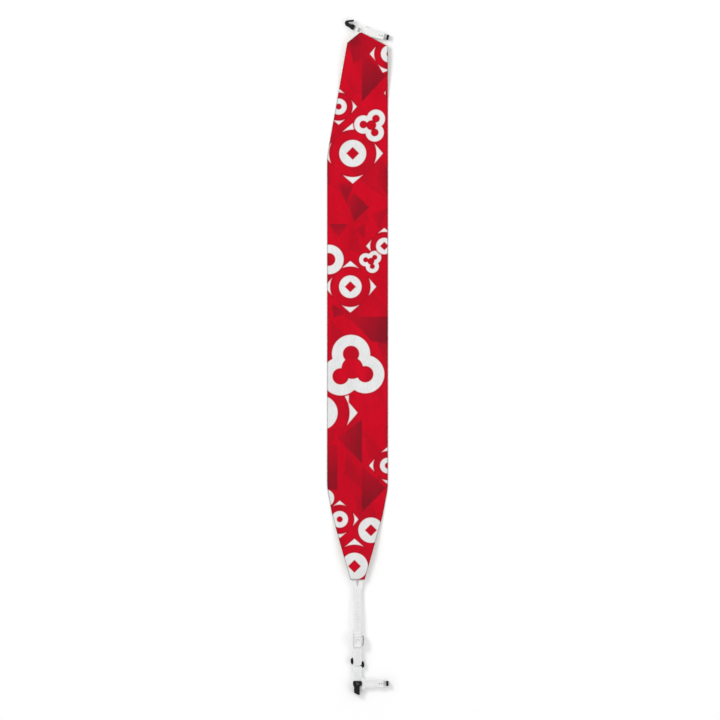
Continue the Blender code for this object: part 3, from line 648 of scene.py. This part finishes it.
# Each row of a tooth: place along it, half width, height
TOOTH_ROWS = ((-2.2, 4.4, PAD_EDGE), (1.5, 5.4, PAD_HEIGHT), (2.2, 5.2, PAD_EDGE))
TEETH_START = 81.0
TOOTH_PITCH = 6.4
TEETH = 11

# Each pair of rails: distance from the centreline, half width, start, end
RAIL_PAIRS = ((7.9, 0.7, 77.0, 175.0), (2.8, 0.6, 150.0, 181.0))
RAIL_STEP = 4.0
# Length of a rail's sloping ends
RAIL_SLOPE = 0.8

# Pointed studs of the grip at the strap's free end
STUDS_START = 2.5
STUD_ROWS = 15
STUD_ROW_PITCH = 2.6
STUDS_IN_ROW = 5
STUD_PITCH = 3.0
STUD_FIRST_X = -7.5
STUD_HALF = 1.15
STUD_TIP = 0.15

# Slanting ribs of the hook strap
RIBS_START = 19.05
RIB_ROWS = 4
RIB_ROW_PITCH = 6.5
RIBS_IN_ROW = 5
RIB_PITCH = 3.3
RIB_FIRST_X = -6.6
RIB_LENGTH = 5.4
RIB_HALF = 0.55
RIB_LEAN = 0.5
# Share of a rib's length that slopes at each end
RIB_ENDS = 0.12

# Rows of a grey pad on the buckle's right cheek, painted shade where that side of the buckle falls in
# shadow: place along the buckle, left, right, height
PAINTED_SHADE_PAD = (
    (2.0, 10.5, 12.6, 0.05),
    (9.0, 11.4, 14.7, 0.3),
    (21.0, 11.8, 15.4, 0.3),
    (28.5, 10.9, 13.4, 0.05),
)


def tail_end(node):
    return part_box(node)[0].y / MM


def places(start, pitch, count):
    return [start + k * pitch for k in range(count)]


def tooth(y):
    return [(y + along, -half, half, height) for along, half, height in TOOTH_ROWS]


def rail(x, half, start, end):
    inner = end - start - 2 * RAIL_SLOPE
    rows = [(y, PAD_HEIGHT) for y in places(start + RAIL_SLOPE, RAIL_STEP, int(inner / RAIL_STEP) + 1)]
    return [(y, x - half, x + half, height) for y, height in ((start, PAD_EDGE), *rows, (end, PAD_EDGE))]


def stud(x, y):
    return [
        (y - STUD_HALF, x - STUD_TIP, x + STUD_TIP, PAD_EDGE),
        (y, x - STUD_HALF, x + STUD_HALF, PAD_HEIGHT),
        (y + STUD_HALF, x - STUD_TIP, x + STUD_TIP, PAD_EDGE),
    ]


def rib(x, y, lean):
    rows = []
    for share, height in ((0, PAD_EDGE), (RIB_ENDS, PAD_HEIGHT), (1 - RIB_ENDS, PAD_HEIGHT), (1, PAD_EDGE)):
        along = RIB_LENGTH * share
        middle = x + lean * along
        rows.append((y + along, middle - RIB_HALF, middle + RIB_HALF, height))
    return rows


def stud_rows(start):
    """Rows of studs, with every second row half a pitch to the right."""
    studs = []
    for row, y in enumerate(places(start, STUD_ROW_PITCH, STUD_ROWS)):
        first = STUD_FIRST_X + STUD_PITCH / 2 * (row % 2)
        studs += [stud(x, y) for x in places(first, STUD_PITCH, STUDS_IN_ROW)]
    return studs


def rib_rows(start):
    """Rows of ribs that lean to the right and to the left by turns."""
    ribs = []
    for row, y in enumerate(places(start, RIB_ROW_PITCH, RIB_ROWS)):
        lean = RIB_LEAN * (-1) ** row
        ribs += [rib(x, y, lean) for x in places(RIB_FIRST_X, RIB_PITCH, RIBS_IN_ROW)]
    return ribs


def add_relief(name, node, body, material, pads, flat=True):
    """One mesh of closed pads on the top face of a CAD node, which is flat or rises along the strip."""
    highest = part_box(node)[1].z
    top = np.array([(0.0, highest)]) if flat else layer_profile([node])[3]
    points, faces = [], []
    for rows in pads:
        first = len(points)
        for y, left, right, height in rows:
            base = float(np.interp(y * MM, top[:, 0], top[:, 1])) / MM
            inset = min(PAD_INSET, (right - left) / 3)
            points += [(left, y, base - SINK), (right, y, base - SINK)]
            points += [(right - inset, y, base + height), (left + inset, y, base + height)]
        for row in range(len(rows) - 1):
            near = first + 4 * row
            far = near + 4
            faces += [(near + k, near + (k + 1) % 4, far + (k + 1) % 4, far + k) for k in range(4)]
        last = first + 4 * (len(rows) - 1)
        faces += [tuple(range(first + 3, first - 1, -1)), tuple(range(last, last + 4))]
    relief = mesh_object(name, [tuple(c * MM for c in point) for point in points], faces, material)
    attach(relief, body)


def make_relief():
    strap, hook_strap, buckle = map(tail_end, ("ladder_strap", "hook_strap", "buckle_body"))
    teeth = [tooth(y) for y in places(strap + TEETH_START, TOOTH_PITCH, TEETH)]
    add_relief("ladder_teeth", "ladder_strap", "tail_half", "relief", teeth, flat=False)
    rails = []
    for x, half, start, end in RAIL_PAIRS:
        rails += [rail(side * x, half, strap + start, strap + end) for side in (-1, 1)]
    add_relief("strap_rails", "ladder_strap", "tail_half", "relief", rails, flat=False)
    studs = stud_rows(strap + STUDS_START)
    add_relief("strap_grip", "ladder_strap", "tail_half", "relief", studs, flat=False)
    ribs = rib_rows(hook_strap + RIBS_START)
    add_relief("hook_strap_ribs", "hook_strap", "strap_end", "relief", ribs)
    # A raised pad in grey on the buckle's right cheek: painted shade on the side away from the key light
    cheek = [(buckle + along, left, right, height) for along, left, right, height in PAINTED_SHADE_PAD]
    add_relief("buckle_painted_shade_pad", "buckle_body", "strap_end", "painted_shade_pad", [cheek])


def fold_across(sheet):
    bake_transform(sheet)


def dress_cad_nodes():
    slots = {part["node"]: part["material_slot"] for part in frame["record"]["subparts"]}
    for name, item in frame["nodes"].items():
        material = MATERIALS[slots[name]]
        if not item.material_slots:
            item.data.materials.append(material)
        for material_slot in item.material_slots:
            material_slot.material = material


# Floor, lights and camera


def make_stage():
    z = cad_bounds[0].z - FLOOR_GAP
    corners = [(x * FLOOR_HALF, y * FLOOR_HALF, z) for x, y in ((-1, -1), (1, -1), (1, 1), (-1, 1))]
    mesh = bpy.data.meshes.new("floor")
    mesh.from_pydata(corners, [], [(0, 1, 2, 3)])
    floor = bpy.data.objects.new("floor", mesh)
    bpy.context.scene.collection.objects.link(floor)
    material, _, shader = node_material("pale_floor")
    shader.inputs["Base Color"].default_value = (FLOOR_TONE, FLOOR_TONE, FLOOR_TONE, 1)
    shader.inputs["Roughness"].default_value = 0.9
    floor.data.materials.append(material)


def add_light(name, offset, size, power):
    """A round soft light that points at the middle of the view."""
    light = bpy.data.lights.new(name, "AREA")
    light.shape = "DISK"
    light.size = size
    light.energy = power
    item = bpy.data.objects.new(name, light)
    item.location = Vector((*VIEW_CENTRE, 0)) + Vector(offset)
    item.rotation_euler = (-Vector(offset)).to_track_quat("-Z", "Y").to_euler()
    bpy.context.scene.collection.objects.link(item)


def make_lights():
    world = bpy.data.worlds.new("soft_room")
    world.use_nodes = True
    background = world.node_tree.nodes["Background"]
    background.inputs["Color"].default_value = (1, 1, 1, 1)
    background.inputs["Strength"].default_value = ROOM_LIGHT
    bpy.context.scene.world = world
    for light in LIGHTS:
        add_light(*light)
    bpy.context.scene.view_settings.view_transform = "Standard"


def make_camera():
    camera = bpy.data.cameras.new("camera")
    item = bpy.data.objects.new("camera", camera)
    item.location = (*VIEW_CENTRE, CAMERA_HEIGHT)
    camera.sensor_width = SENSOR
    camera.lens = SENSOR * CAMERA_HEIGHT / VIEW_WIDTH
    camera.clip_end = CAMERA_FAR
    bpy.context.scene.collection.objects.link(item)
    bpy.context.scene.camera = item


make_stage()
make_lights()
make_camera()
dress_cad_nodes()
plush_sheet = make_plush()
glue_sheet = make_glue()
for one_sheet in (plush_sheet, glue_sheet):
    fold_across(one_sheet)
make_relief()
